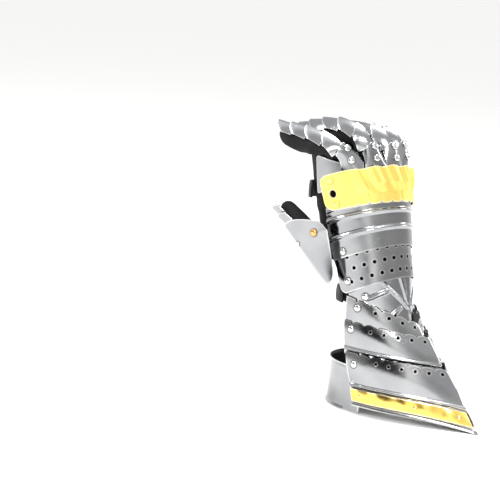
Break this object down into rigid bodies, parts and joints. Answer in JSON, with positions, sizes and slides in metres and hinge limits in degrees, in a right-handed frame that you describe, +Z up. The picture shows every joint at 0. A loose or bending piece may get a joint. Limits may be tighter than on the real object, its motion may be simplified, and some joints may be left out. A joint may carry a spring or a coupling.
{
  "type": "armoured gauntlet",
  "caption": "Plate gauntlet for a right hand with a pointed flared cuff, riveted wrist lames, brass knuckle plate, scaled fingers and a leather glove, standing on its cuff.",
  "frame": {"origin": "on the ground, under the middle of the whole gauntlet's bounding box", "axes": "+Z up from the cuff's mouth to the fingers, +X towards the back of the arm (the cuff's point), -X towards the palm and the way the fingers point, -Y the thumb's side"},
  "size_m": [0.2392, 0.1104, 0.2924],
  "materials": {
    "steel": "polished mild steel with fine rubbing marks",
    "brass_trim": "polished deep golden brass",
    "brass_plate": "satin pale brass",
    "leather": "matt black suede leather"
  },
  "bodies": {
    "cuff": {"cuff_plate": "steel", "cuff_trim_thumb_side": "brass_trim", "cuff_trim_little_side": "brass_trim", "cuff_band": "steel"},
    "lower_lame": {"lower_lame": "steel"},
    "upper_lame": {"upper_lame": "steel"},
    "hand": {"wrist_plate": "steel", "perforated_lame": "steel", "metacarpal_plate": "steel", "knuckle_plate": "brass_plate", "knuckle_lame": "steel", "index_root_plate": "steel", "index_scale_1": "steel", "index_scale_2": "steel", "index_scale_3": "steel", "index_scale_4": "steel", "middle_root_plate": "steel", "middle_scale_1": "steel", "middle_scale_2": "steel", "middle_scale_3": "steel", "middle_scale_4": "steel", "middle_scale_5": "steel", "ring_root_plate": "steel", "ring_scale_1": "steel", "ring_scale_2": "steel", "ring_scale_3": "steel", "ring_scale_4": "steel", "little_root_plate": "steel", "little_scale_1": "steel", "little_scale_2": "steel", "little_scale_3": "steel", "little_scale_4": "steel", "thumb_plate": "steel", "thumb_scale_1": "steel", "thumb_scale_2": "steel", "glove": "leather", "wrist_strap": "leather", "knuckle_strap": "leather"}
  },
  "joints": [
    {"name": "cuff_rivets", "type": "hinge", "parent": "cuff", "child": "lower_lame", "pos_m": [-0.00393, 0.00665, 0.05035], "axis": [0, 1, 0], "range_deg": [-4, 4]},
    {"name": "lower_lame_rivets", "type": "hinge", "parent": "lower_lame", "child": "upper_lame", "pos_m": [-0.01263, 0.00665, 0.0848], "axis": [0, 1, 0], "range_deg": [-5, 5]},
    {"name": "upper_lame_rivets", "type": "hinge", "parent": "upper_lame", "child": "hand", "pos_m": [-0.00903, 0.00665, 0.1069], "axis": [0, 1, 0], "range_deg": [-6, 6]}
  ]
}
